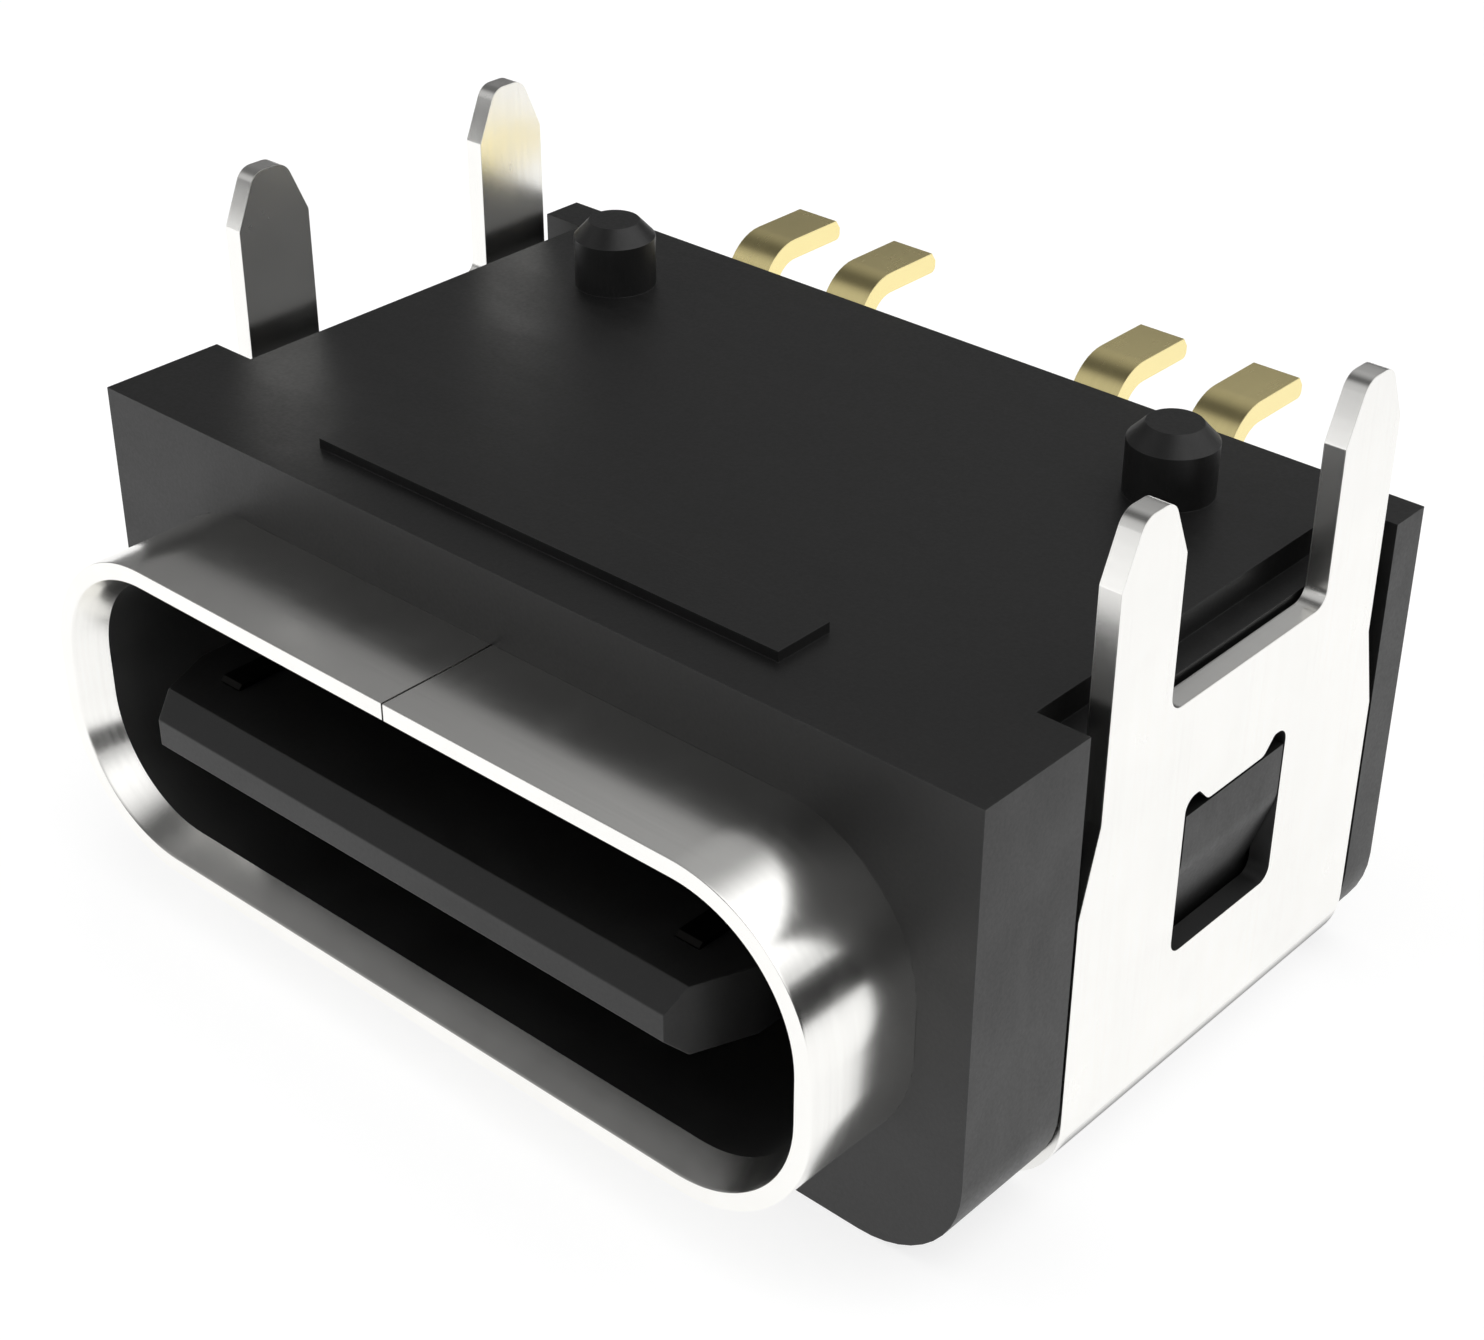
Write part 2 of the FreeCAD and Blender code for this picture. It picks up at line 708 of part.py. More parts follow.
def tongue_blank(doc, s):
    """Tongue, its root block, the plug behind the mouth and the end plate, without inserts."""
    body = new_body(doc, "tongue_blank", s)
    middle = s.mouth_middle
    half = s.tongue_thickness / 2
    nose_half = s.nose_thickness / 2
    bevel = s.nose + s.nose_bevel

    side = sketch_on(body, "YZ_Plane", "tongue_side")
    outline(side, [
        (s.nose, middle - nose_half),
        (bevel, middle - half),
        (s.root, middle - half),
        (s.root, middle + half),
        (bevel, middle + half),
        (s.nose, middle + nose_half),
    ])
    pad(body, side, s.tongue_width, side="Symmetric")

    plan = sketch_on(body, "XY_Plane", "tongue_corners")
    edge = s.tongue_width / 2
    outer = edge + s.overrun
    corner = edge - s.nose_corner_width
    corner_end = s.nose + s.nose_corner_length
    front = s.nose - s.overrun
    for sign in (1, -1):
        outline(plan, [
            (corner * sign, front),
            (outer * sign, front),
            (outer * sign, corner_end),
            (edge * sign, corner_end),
            (corner * sign, s.nose),
        ])
        outline(plan, [
            ((edge - s.notch_depth) * sign, s.notch_start),
            (outer * sign, s.notch_start),
            (outer * sign, s.notch_end),
            ((edge - s.notch_depth) * sign, s.notch_end),
        ])
    pocket_through(body, plan)

    root = sketch_on(body, "XZ_Plane", "root_outline", -s.root)
    half_root = edge + s.root_step
    rectangle(root, -half_root, half_root,
              middle - s.root_thickness / 2, middle + s.root_thickness / 2)
    pad(body, root, s.cavity_end - s.root, reverse=True)

    plug = sketch_on(body, "XZ_Plane", "plug_outline", -s.cavity_end)
    rounded_rectangle(plug, s.mouth_width / 2 - s.shell_gap, middle,
                      s.mouth_height / 2 - s.shell_gap, s.mouth_corner - s.shell_gap)
    pad(body, plug, s.shell_end - s.cavity_end, reverse=True)

    plate = sketch_on(body, "XZ_Plane", "end_plate_outline", -s.shell_end)
    rounded_rectangle(plate, s.shell_half_width, middle, s.shell_half_height, s.shell_corner)
    pad(body, plate, s.body_length - s.shell_end, reverse=True)
    return body


def tongue_moulding(doc, blank, inserts):
    """The tongue is moulded round its inserts, so their shapes are taken out of it."""
    group = doc.addObject("Part::Compound", "inserts")
    group.Links = inserts
    moulding = doc.addObject("Part::Cut", "tongue_moulding")
    moulding.Label = "tongue_moulding"
    moulding.Base = blank
    moulding.Tool = group
    return moulding


def contacts(doc, s):
    """Ground contacts outside, power contacts inside, one upper and one lower each."""
    ground = s.ground_spread / 2
    power_blade = s.power_blade_spread / 2
    power_tail = s.power_tail_spread / 2
    places = (
        ("ground_left", -ground, -ground, s.ground_setback),
        ("power_left", -power_blade, -power_tail, s.power_setback),
        ("power_right", power_blade, power_tail, s.power_setback),
        ("ground_right", ground, ground, s.ground_setback),
    )
    bodies = []
    for name, blade, tail, setback in places:
        bodies.append(upper_contact(doc, s, "upper_contact_" + name, blade, tail, setback))
        bodies.append(lower_contact(doc, s, "lower_contact_" + name, blade, tail, setback))
    return bodies


# Checks and files

def check(doc, pieces):
    """Stop if an object failed, a cut took nothing away or a piece is not one sound solid."""
    for item in doc.Objects:
        if "Invalid" in item.State or "Error" in item.State:
            raise RuntimeError(f"{item.Label} failed: {item.State}")
        if item.TypeId == "PartDesign::Pocket":
            if item.Shape.Volume > item.BaseFeature.Shape.Volume - 1e-6:
                raise RuntimeError(f"{item.Label} cuts nothing")
    for piece in pieces:
        shape = piece.Shape
        if shape.isNull() or not shape.isValid() or len(shape.Solids) != 1:
            raise RuntimeError(f"{piece.Label} is not one sound solid")


def main():
    doc = FreeCAD.newDocument("socket")
    s = derive(size_table(doc))
    plate = mid_plate(doc, s)
    strips = contacts(doc, s)
    moulding = tongue_moulding(doc, tongue_blank(doc, s), [plate] + strips)
    pieces = [housing(doc, s), mouth_shell(doc, s), cover_bracket(doc, s), moulding, plate]
    pieces += strips
    doc.recompute()
    check(doc, pieces)
    os.makedirs("parts", exist_ok=True)
    for piece in pieces:
        piece.Shape.exportStep(f"parts/{piece.Label}.step")
        print(piece.Label, round(piece.Shape.Volume, 4), piece.Shape.BoundBox)


main()
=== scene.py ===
"""A board socket for a reversible plug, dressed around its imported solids.

The scene is in metres. The sizes and places named below are in millimetres, and MM makes metres of them.
"""
import math

import bmesh
import bpy
from mathutils import Matrix, Vector
from mathutils.geometry import tessellate_polygon


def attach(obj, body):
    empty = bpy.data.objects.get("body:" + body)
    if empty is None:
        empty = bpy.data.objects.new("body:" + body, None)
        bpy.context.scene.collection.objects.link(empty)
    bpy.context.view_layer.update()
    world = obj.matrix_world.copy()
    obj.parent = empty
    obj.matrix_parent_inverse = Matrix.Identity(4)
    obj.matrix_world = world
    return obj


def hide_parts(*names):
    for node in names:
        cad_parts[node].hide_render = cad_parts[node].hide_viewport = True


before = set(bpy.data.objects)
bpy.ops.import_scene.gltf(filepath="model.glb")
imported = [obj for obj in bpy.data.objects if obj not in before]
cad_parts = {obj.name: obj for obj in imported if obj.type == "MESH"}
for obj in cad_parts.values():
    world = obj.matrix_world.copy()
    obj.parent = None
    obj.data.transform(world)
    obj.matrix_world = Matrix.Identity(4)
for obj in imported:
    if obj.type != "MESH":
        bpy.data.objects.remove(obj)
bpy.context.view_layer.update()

MM = 0.001

# Mouth shell: a rolled tube along y, with its seam on the board side

SHELL_MIDDLE_Z = 2.27
SHELL_HALF_WIDTH = 4.175
SHELL_HALF_HEIGHT = 1.28
SHELL_CORNER = 1.07
SHELL_CORNER_STEPS = 28
SHELL_WALL = 0.3
SHELL_FRONT = -4.198
SHELL_BACK = 2.442
SHELL_SEAM = 0.02
# The flared lead-in, and the small rounding at both edges of the rim
LEAD_RADIAL = 0.14
LEAD_DEPTH = 0.305
RIM_ROUNDING = 0.009
RIM_STEPS = 4
# The outside rises a little where it is held in the housing
SEAT_START = -3.4
SEAT_END = -3.02
SEAT_RISE = 0.0096
# Loops that keep the shading of the flats even
INNER_LOOPS = (0.0, -2.5)
RIM_SUPPORT = 3.0 * RIM_ROUNDING
SEAM_SUPPORT = 0.08

# Cover bracket: a sheet folded round the housing. Its walls are drawn in (y, z)

BRACKET_OUTSIDE = 5.0
BRACKET_SHEET = 0.2
BRACKET_FRONT = -1.71
BRACKET_REAR = 2.53
BEND_RADIUS = 0.8
BEND_STEPS = 16
LEG_MIDDLES = (-1.1, 1.92)
LEG_WIDTH = 0.82
LEG_TAPER_FOOT = 5.64
LEG_TOP = 6.156
LEG_TIP_WIDTH = 0.37
LEG_TIP_RADIUS = 0.18
CROSSBAR_TOP = 4.24
CROSSBAR_CORNER = 0.15
SHOULDER_TOP = 3.63
SHOULDER_FOOT = 2.845
WALL_CORNER = 0.06
CORNER_STEP = 9.0
# The window in each wall, with an ear at each end of its bar
WINDOW_WIDTH = 1.46
WINDOW_SILL = 1.73
WINDOW_BAR = 3.12
WINDOW_CORNER = 0.13
EAR_TOP = 3.262
EAR_WIDTH = 0.325
EAR_SLOPE = 0.14
EAR_CREST_RADIUS = 0.05
EAR_FOOT_RADIUS = 0.1

# Edges: angles in degrees over which they stay sharp or are eased, and how wide each easing is

SHARP_ANGLE = 32.0
SHELL_SHARP_ANGLE = 20.0
EASED_ANGLE = 35.0
JOIN_DISTANCE = 0.00005
HOUSING_EASE = 0.012
BRACKET_EASE = 0.014
FINE_EASE = 0.01

# Materials: scales are in cells a metre, and a band is the span of noise that a change runs over

NOISE_BAND = (0.3, 0.7)
NONE_TO_ALL = (0.0, 1.0)
ALL_TO_NONE = (1.0, 0.0)
EDGE_SAMPLES = 6
FLAT_DOT = 0.999
# Moulded plastic
FLOW_STRETCH = (500.0, 1400.0, 900.0)
FLOW_TINTS = (0.8, 1.25)
FLOW_WARMTH = 0.02
GRAIN_SCALE = 26000.0
GRAIN_ROUGHNESS = (-0.04, 0.04)
SPECK_SCALE = 61000.0
SPECK_BAND = (0.62, 0.78)
SPECK_SHARES = (0.0, 0.5)
SPECK_TINT = 2.4
SPECK_WARMTH = 0.03
SPECK_HEIGHT = 0.35
WORN_RADIUS = 0.03
WORN_SPREAD = 0.12
WORN_BAND = (0.35, 0.7)
WORN_SHARES = (0.1, 0.8)
WORN_TINT = 3.2
PLASTIC_ROUGHNESS_SPREAD = 0.05
PLASTIC_IOR = 1.5
# Rolled sheet, with lines across y, or across x on the contacts
LINES_ACROSS_Y = (500.0, 26000.0, 500.0)
LINES_ACROSS_X = (26000.0, 700.0, 700.0)
LINE_BAND = (0.35, 0.75)
LINE_SHARES = (0.0, 0.14)
LINE_TINT = 0.8
LINE_ROUGHNESS = (-0.012, 0.02)
SMUDGE_SCALE = 1500.0
SMUDGE_TINT = 0.955
SMUDGE_BAND = (0.3, 0.75)
SMUDGE_SMOOTHER = 0.025
SMUDGE_ROUGHER = 0.035
FINE_SCALE = 32000.0
FINE_HEIGHT = 0.5
CUT_RADIUS = 0.02
CUT_SPREAD = 0.2
CUT_ROUGHNESS = 0.08
# Contacts: painted shade, dark and dull in front, inside the mouth where no light reaches
MOUTH_SHADE_TO = -2.6
MOUTH_SHADE_FADE = 0.4
MOUTH_SHADE_GREY = 0.01
MOUTH_SHADE_WARMTH = 0.05
MOUTH_SHADE_ROUGHNESS = 0.25
# Bracket: painted shade round its lower bend except at its front edge, a grey colour and a darker
# reflection there
BEND_SHADE_TO = 0.63
BEND_SHADE_FADE = 0.2
BEND_SHADE_SHARES = (0.9, 0.0)
BEND_SHADE_GREY = 0.5
BEND_SHADE_WARMTH = 0.01
BEND_SHADE_GRAZING = 0.2
BEND_SHADE_ROUGHNESS = 0.12
BEND_SHADE_BEHIND = (0.03, 0.15)

# Stage: a round floor that turns up into a low wall

FLOOR_RINGS = (20.0, 50.0)
WALL_FOOT = 70.0
WALL_TURN = 25.0
WALL_TURN_END = -20.0
WALL_TURN_STEPS = 10
WALL_TOP = (95.5, 36.0)
STAGE_SIDES = 96
PAPER_TOOTH_SCALE = 2500.0
PAPER_GREYS = (0.79, 0.82)
SHOWN_GLOW = 0.77
SHOWN_DIFFUSE = 0.325
CARD_CLOTH_SCALE = 3000.0
CARD_CLOTH_TINTS = (0.8, 1.2)
CARD_STEP = 5

# Light: the fill lamps face a point above the middle of the floor, from this distance

LAMP_AIM = 3.0
LAMP_DISTANCE = 80.0
SOFT_LIGHT_HEIGHTS = (0.12, 0.58)
DIM_HEIGHTS = (0.55, 0.85)
DIM_LEVELS = (0.165, 0.09)

# Camera, solved from the photo: its place, and its angles in degrees

CAMERA_PLACE = (13.9226, -15.5114, 15.1268)
CAMERA_AZIMUTH = 41.828
CAMERA_ELEVATION = 31.727
CAMERA_ROLL = 0.209
CAMERA_LENS = 64.896
CAMERA_SENSOR = 36.0
CAMERA_NEAR = 0.5
CAMERA_FAR = 1000.0


# Node trees

class Tree:
    """A node tree with short calls for adding nodes and linking them."""

    # Numbers of the colour sockets of a mix node
    MIX_FACTOR = 0
    MIX_FIRST = 6
    MIX_SECOND = 7
    MIX_RESULT = 2

    def __init__(self, owner):
        owner.use_nodes = True
        self.tree = owner.node_tree
        self.tree.nodes.clear()

    def add(self, kind, inputs=None, **settings):
        """Adds a node. An input is linked if it is another node's output, and set if it is a value."""
        node = self.tree.nodes.new(kind)
        for name, value in settings.items():
            setattr(node, name, value)
        for name, value in (inputs or {}).items():
            socket = node.inputs[name]
            if isinstance(value, bpy.types.NodeSocket):
                self.tree.links.new(value, socket)
            else:
                socket.default_value = value
        return node

    def place(self):
        """The shaded point in the object's own frame, in metres."""
        return self.add("ShaderNodeTexCoord").outputs["Object"]

    def part(self, vector, axis):
        """One part of a vector: X, Y or Z."""
        return self.add("ShaderNodeSeparateXYZ", {"Vector": vector}).outputs[axis]

    def noise(self, vector, scale, detail=2.0, roughness=0.5, distortion=0.0):
        wanted = {
            "Vector": vector,
            "Scale": scale,
            "Detail": detail,
            "Roughness": roughness,
            "Distortion": distortion,
        }
        return self.add("ShaderNodeTexNoise", wanted).outputs["Fac"]

    def stretched(self, vector, scale):
        return self.add("ShaderNodeMapping", {"Vector": vector, "Scale": scale}).outputs["Vector"]

    def ranged(self, value, span, result, interpolation="LINEAR"):
        """Maps a value from one (first, last) pair to another, and keeps it inside the second."""
        wanted = {
            "Value": value,
            "From Min": span[0],
            "From Max": span[1],
            "To Min": result[0],
            "To Max": result[1],
        }
        node = self.add("ShaderNodeMapRange", wanted, interpolation_type=interpolation)
        return node.outputs["Result"]

    def maths(self, operation, a, b, clamp=False):
        node = self.add("ShaderNodeMath", {0: a, 1: b}, operation=operation, use_clamp=clamp)
        return node.outputs["Value"]

    def added(self, total, *others):
        for other in others:
            total = self.maths("ADD", total, other)
        return total

    def dot(self, a, b):
        node = self.add("ShaderNodeVectorMath", {0: a, 1: b}, operation="DOT_PRODUCT")
        return node.outputs["Value"]

    def mixed(self, factor, a, b):
        wanted = {self.MIX_FACTOR: factor, self.MIX_FIRST: a, self.MIX_SECOND: b}
        return self.add("ShaderNodeMix", wanted, data_type="RGBA").outputs[self.MIX_RESULT]

    def bump(self, height, distance):
        return self.add("ShaderNodeBump", {"Height": height, "Distance": distance}).outputs["Normal"]

    def edges(self, radius, spread):
        """0 on open faces, rising to 1 at the edges: how far a rounded normal turns from the true one."""
        rounded = self.add("ShaderNodeBevel", {"Radius": radius}, samples=EDGE_SAMPLES).outputs["Normal"]
        true = self.add("ShaderNodeNewGeometry").outputs["Normal"]
        return self.ranged(self.dot(rounded, true), (1.0 - spread, FLAT_DOT), ALL_TO_NONE)


def grey(level, warm=0.0):
    """A grey, with its red raised and its blue lowered by the warm share."""
    return (level * (1.0 + warm), level, level * (1.0 - warm), 1.0)


def darker(colour, share):
    return tuple(channel * share for channel in colour[:3]) + (1.0,)


def new_material(name):
    material = bpy.data.materials.new(name)
    tree = Tree(material)
    return material, tree, tree.place()


def finish_material(tree, inputs):
    shader = tree.add("ShaderNodeBsdfPrincipled", inputs)
    tree.add("ShaderNodeOutputMaterial", {"Surface": shader.outputs["BSDF"]})


def moulded_plastic(name, level, rough, grain_height):
    """Black glass-filled plastic: spark-eroded grain, faint flow marks, and edges worn lighter."""
    material, tree, place = new_material(name)
    flow = tree.noise(tree.stretched(place, FLOW_STRETCH), 1.0, detail=4.0, roughness=0.6, distortion=0.8)
    grain = tree.noise(place, GRAIN_SCALE, detail=3.0, roughness=0.6)
    speck = tree.noise(place, SPECK_SCALE, detail=1.0)
    worn = tree.edges(WORN_RADIUS * MM, WORN_SPREAD)
    patchy = tree.maths("MULTIPLY", worn, tree.ranged(flow, WORN_BAND, WORN_SHARES))
    dark, light = (level * share for share in FLOW_TINTS)
    colour = tree.mixed(tree.ranged(flow, NOISE_BAND, NONE_TO_ALL), grey(dark), grey(light, FLOW_WARMTH))
    specks = tree.ranged(speck, SPECK_BAND, SPECK_SHARES)
    colour = tree.mixed(specks, colour, grey(level * SPECK_TINT, SPECK_WARMTH))
    colour = tree.mixed(patchy, colour, grey(level * WORN_TINT))
    spread = (rough - PLASTIC_ROUGHNESS_SPREAD, rough + PLASTIC_ROUGHNESS_SPREAD)
    roughness = tree.ranged(flow, NOISE_BAND, spread)
    uneven = tree.ranged(grain, NOISE_BAND, GRAIN_ROUGHNESS)
    height = tree.added(grain, tree.maths("MULTIPLY", speck, SPECK_HEIGHT))
    finish_material(tree, {
        "Base Color": colour,
        "Roughness": tree.added(roughness, uneven),
        "IOR": PLASTIC_IOR,
        "Normal": tree.bump(height, grain_height),
    })
    return material


def rolled_sheet(name, colour, rough, line_height, across_x=False, mouth_shade=False, bend_shade=False):
    """Plated sheet metal: fine rolling lines, soft smudges, and cut edges a little duller.

    The contacts can take painted shade: dull and dark in front, inside the mouth where no light reaches.
    The bracket can take
    painted shade low down round its bend: greyed, with a darker reflection, except at its front edge.
    """
    material, tree, place = new_material(name)
    line_stretch = LINES_ACROSS_X if across_x else LINES_ACROSS_Y
    lines = tree.noise(tree.stretched(place, line_stretch), 1.0, detail=4.0, roughness=0.65)
    smudge = tree.noise(place, SMUDGE_SCALE, detail=4.0, roughness=0.6, distortion=0.5)
    fine = tree.noise(place, FINE_SCALE)
    smudged = tree.ranged(smudge, NOISE_BAND, NONE_TO_ALL)
    tint = tree.mixed(smudged, darker(colour, SMUDGE_TINT), colour)
    tint = tree.mixed(tree.ranged(lines, LINE_BAND, LINE_SHARES), tint, darker(colour, LINE_TINT))
    wide = tree.ranged(smudge, SMUDGE_BAND, (rough - SMUDGE_SMOOTHER, rough + SMUDGE_ROUGHER))
    dull = tree.maths("MULTIPLY", tree.edges(CUT_RADIUS * MM, CUT_SPREAD), CUT_ROUGHNESS)
    roughness = tree.added(wide, dull, tree.ranged(lines, NOISE_BAND, LINE_ROUGHNESS))
    height = tree.added(lines, tree.maths("MULTIPLY", fine, FINE_HEIGHT))
    grazing = grey(1.0)
    # Painted shade: the contacts go dark and dull in front, inside the unlit mouth
    if mouth_shade:
        fade = (MOUTH_SHADE_TO * MM, MOUTH_SHADE_TO * MM + MOUTH_SHADE_FADE * MM)
        share = tree.ranged(tree.part(place, "Y"), fade, ALL_TO_NONE)
        tint = tree.mixed(share, tint, grey(MOUTH_SHADE_GREY, MOUTH_SHADE_WARMTH))
        roughness = tree.added(roughness, tree.maths("MULTIPLY", share, MOUTH_SHADE_ROUGHNESS))
    # Painted shade: the lower bend goes grey, with a darker reflection, except at its front edge
    if bend_shade:
        fade = (BEND_SHADE_TO * MM - BEND_SHADE_FADE * MM, BEND_SHADE_TO * MM)
        behind = tuple((BRACKET_FRONT + setback) * MM for setback in BEND_SHADE_BEHIND)
        low = tree.ranged(tree.part(place, "Z"), fade, BEND_SHADE_SHARES)
        kept = tree.ranged(tree.part(place, "Y"), behind, NONE_TO_ALL)
        share = tree.maths("MULTIPLY", kept, low)
        tint = tree.mixed(share, tint, grey(BEND_SHADE_GREY, BEND_SHADE_WARMTH))
        grazing = tree.mixed(share, grey(1.0), grey(BEND_SHADE_GRAZING))
        roughness = tree.added(roughness, tree.maths("MULTIPLY", share, BEND_SHADE_ROUGHNESS))
    finish_material(tree, {
        "Base Color": tint,
        "Specular Tint": grazing,
        "Metallic": 1.0,
        "Roughness": roughness,
        "Normal": tree.bump(height, line_height),
    })
    return material


# Meshes and edges

def normals_by_angle(limit):
    """A geometry node group that keeps only the edges over the limit sharp."""
    group = bpy.data.node_groups.new("normals_by_angle", "GeometryNodeTree")
    group.interface.new_socket("Geometry", in_out="INPUT", socket_type="NodeSocketGeometry")
    group.interface.new_socket("Geometry", in_out="OUTPUT", socket_type="NodeSocketGeometry")
    nodes = group.nodes
    links = group.links
    start = nodes.new("NodeGroupInput")
    end = nodes.new("NodeGroupOutput")
    angle = nodes.new("GeometryNodeInputMeshEdgeAngle")
    over = nodes.new("FunctionNodeCompare")
    over.data_type = "FLOAT"
    over.operation = "GREATER_THAN"
    over.inputs[1].default_value = limit
    normal = nodes.new("GeometryNodeSetMeshNormal")
    normal.mode = "SHARPNESS"
    normal.inputs["Remove Custom"].default_value = True
    links.new(start.outputs[0], normal.inputs["Mesh"])
    links.new(angle.outputs["Unsigned Angle"], over.inputs[0])
    links.new(over.outputs[0], normal.inputs["Edge Sharpness"])
    links.new(normal.outputs["Mesh"], end.inputs[0])
    return group


SMOOTH = normals_by_angle(math.radians(SHARP_ANGLE))


def ease_edges(piece, width, segments=2):
    """Joins doubled points, rounds the sharp edges by a hair and keeps the flat faces beside them flat."""
    join = piece.modifiers.new("join", "WELD")
    join.merge_threshold = JOIN_DISTANCE * MM
    normals = piece.modifiers.new("normals", "NODES")
    normals.node_group = SMOOTH
    bevel = piece.modifiers.new("ease", "BEVEL")
    bevel.width = width * MM
    bevel.segments = segments
    bevel.limit_method = "ANGLE"
    bevel.angle_limit = math.radians(EASED_ANGLE)
    bevel.use_clamp_overlap = True
    bevel.harden_normals = True


def mesh_piece(name, vertices, faces, material, sharp=SHARP_ANGLE):
    """An object in the scene from points in millimetres, with edges over the angle left sharp."""
    mesh = bpy.data.meshes.new(name)
    mesh.from_pydata([tuple(c * MM for c in v) for v in vertices], [], faces)
    mesh.materials.append(material)
    piece = bpy.data.objects.new(name, mesh)
    bpy.context.scene.collection.objects.link(piece)
    work = bmesh.new()
    work.from_mesh(mesh)
    bmesh.ops.recalc_face_normals(work, faces=work.faces)
    work.to_mesh(mesh)
    work.free()
    mesh.shade_smooth()
    mesh.set_sharp_from_angle(angle=math.radians(sharp))
    return piece


def arc(centre, radius, first, last, steps):
    """Points of an arc, as (u, v), from the first angle to the last in degrees."""
    points = []
    for index in range(steps + 1):
        angle = math.radians(first + (last - first) * index / steps)
        points.append((centre[0] + radius * math.cos(angle), centre[1] + radius * math.sin(angle)))
    return points


def rounded_outline(corners):
    """Points round a closed outline of (u, v, radius) corners, with an arc where there is a radius."""
    points = []
    for index, (u, v, radius) in enumerate(corners):
        here = Vector((u, v))
        if not radius:
            points.append(here)
            continue
        before = (Vector(corners[index - 1][:2]) - here).normalized()
        after = (Vector(corners[(index + 1) % len(corners)][:2]) - here).normalized()
        half = before.angle(after) / 2.0
        centre = here + (before + after).normalized() * radius / math.sin(half)
        start = here + before * radius / math.tan(half) - centre
        turn = math.pi - 2.0 * half
        if start.x * (here - centre).y - start.y * (here - centre).x < 0:
            turn = -turn
        count = max(2, math.ceil(abs(math.degrees(turn)) / CORNER_STEP))
        for part in range(count + 1):
            angle = turn * part / count
            cos, sin = math.cos(angle), math.sin(angle)
            turned = Vector((start.x * cos - start.y * sin, start.x * sin + start.y * cos))
            points.append(centre + turned)
    return points


# The mouth shell, finer than its solid

def shell_profile():
    """The wall's closed section as (y, distance out from the inner face), from the back round the rim."""
    slope = math.atan2(LEAD_RADIAL, LEAD_DEPTH)
    turn = math.pi / 2.0 - slope
    run = [(SHELL_BACK, 0.0)]
    run += [(y, 0.0) for y in INNER_LOOPS]
    run.append((SHELL_FRONT + LEAD_DEPTH, 0.0))
    run.append((SHELL_FRONT + RIM_SUPPORT, LEAD_RADIAL * (1.0 - RIM_SUPPORT / LEAD_DEPTH)))
    inner = (SHELL_FRONT + RIM_ROUNDING, LEAD_RADIAL + RIM_ROUNDING * math.tan(turn / 2.0))
    for index in range(RIM_STEPS + 1):
        angle = -slope - turn * index / RIM_STEPS
        run.append((inner[0] + RIM_ROUNDING * math.sin(angle), inner[1] - RIM_ROUNDING * math.cos(angle)))
    run.append((SHELL_FRONT, SHELL_WALL - 2.0 * RIM_ROUNDING))
    outer = (SHELL_FRONT + RIM_ROUNDING, SHELL_WALL - RIM_ROUNDING)
    run += arc(outer, RIM_ROUNDING, 180.0, 90.0, RIM_STEPS)
    run.append((SHELL_FRONT + RIM_SUPPORT, SHELL_WALL))
    run.append((SEAT_START, SHELL_WALL))
    run.append((SEAT_END, SHELL_WALL + SEAT_RISE))
    run.append((SHELL_BACK, SHELL_WALL + SEAT_RISE))
    return run


def shell_path():
    """Stations round the tube from one side of the seam to the other: (x, z, outward x, outward z)."""
    flat_x = SHELL_HALF_WIDTH - SHELL_CORNER
    flat_z = SHELL_HALF_HEIGHT - SHELL_CORNER
    stations = []
    for x in (SHELL_SEAM / 2.0, SEAM_SUPPORT, flat_x * 0.5):
        stations.append((x, flat_z, 0.0, 1.0))
    corners = (
        (flat_x, flat_z, 90.0),
        (flat_x, -flat_z, 0.0),
        (-flat_x, -flat_z, -90.0),
        (-flat_x, flat_z, -180.0),
    )
    for x, z, first in corners:
        for index in range(SHELL_CORNER_STEPS + 1):
            angle = math.radians(first - 90.0 * index / SHELL_CORNER_STEPS)
            stations.append((x, z, math.cos(angle), math.sin(angle)))
        if x > 0 > z:
            stations.append((0.0, z, 0.0, -1.0))
    for x in (-flat_x * 0.5, -SEAM_SUPPORT, -SHELL_SEAM / 2.0):
        stations.append((x, flat_z, 0.0, 1.0))
    return stations


def build_shell(outside, inside):
    """The rolled tube, with its inside behind the lead-in in a darker, duller metal: painted shade for the
    dim inside of the tube.
    """
    profile = shell_profile()
    stations = shell_path()
    vertices = []
    for x, z, out_x, out_z in stations:
        for y, out in profile:
            reach = SHELL_CORNER + out
            vertices.append((x + out_x * reach, y, SHELL_MIDDLE_Z + z + out_z * reach))
    count = len(profile)
    faces = []
    inner_faces = []
    for station in range(len(stations) - 1):
        a = station * count
        b = a + count
        for index in range(count):
            if index <= len(INNER_LOOPS):
                inner_faces.append(len(faces))
            after = (index + 1) % count
            faces.append((a + index, a + after, b + after, b + index))
    faces.append(tuple(range(count)))
    last = (len(stations) - 1) * count
    faces.append(tuple(last + index for index in reversed(range(count))))
    shell = mesh_piece("shell_tube", vertices, faces, outside, SHELL_SHARP_ANGLE)
    shell.data.materials.append(inside)
    for index in inner_faces:
        shell.data.polygons[index].material_index = 1
    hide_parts("mouth_shell")
    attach(shell, "root")


# The cover bracket, finer than its solid

def leg_corners(middle):
    """One leg's tapered top, from front to rear."""
    half = LEG_WIDTH / 2.0
    tip = LEG_TIP_WIDTH / 2.0
    return [
        (middle - half, LEG_TAPER_FOOT, WALL_CORNER),
        (middle - tip, LEG_TOP, LEG_TIP_RADIUS),
        (middle + tip, LEG_TOP, LEG_TIP_RADIUS),
        (middle + half, LEG_TAPER_FOOT, WALL_CORNER),
    ]


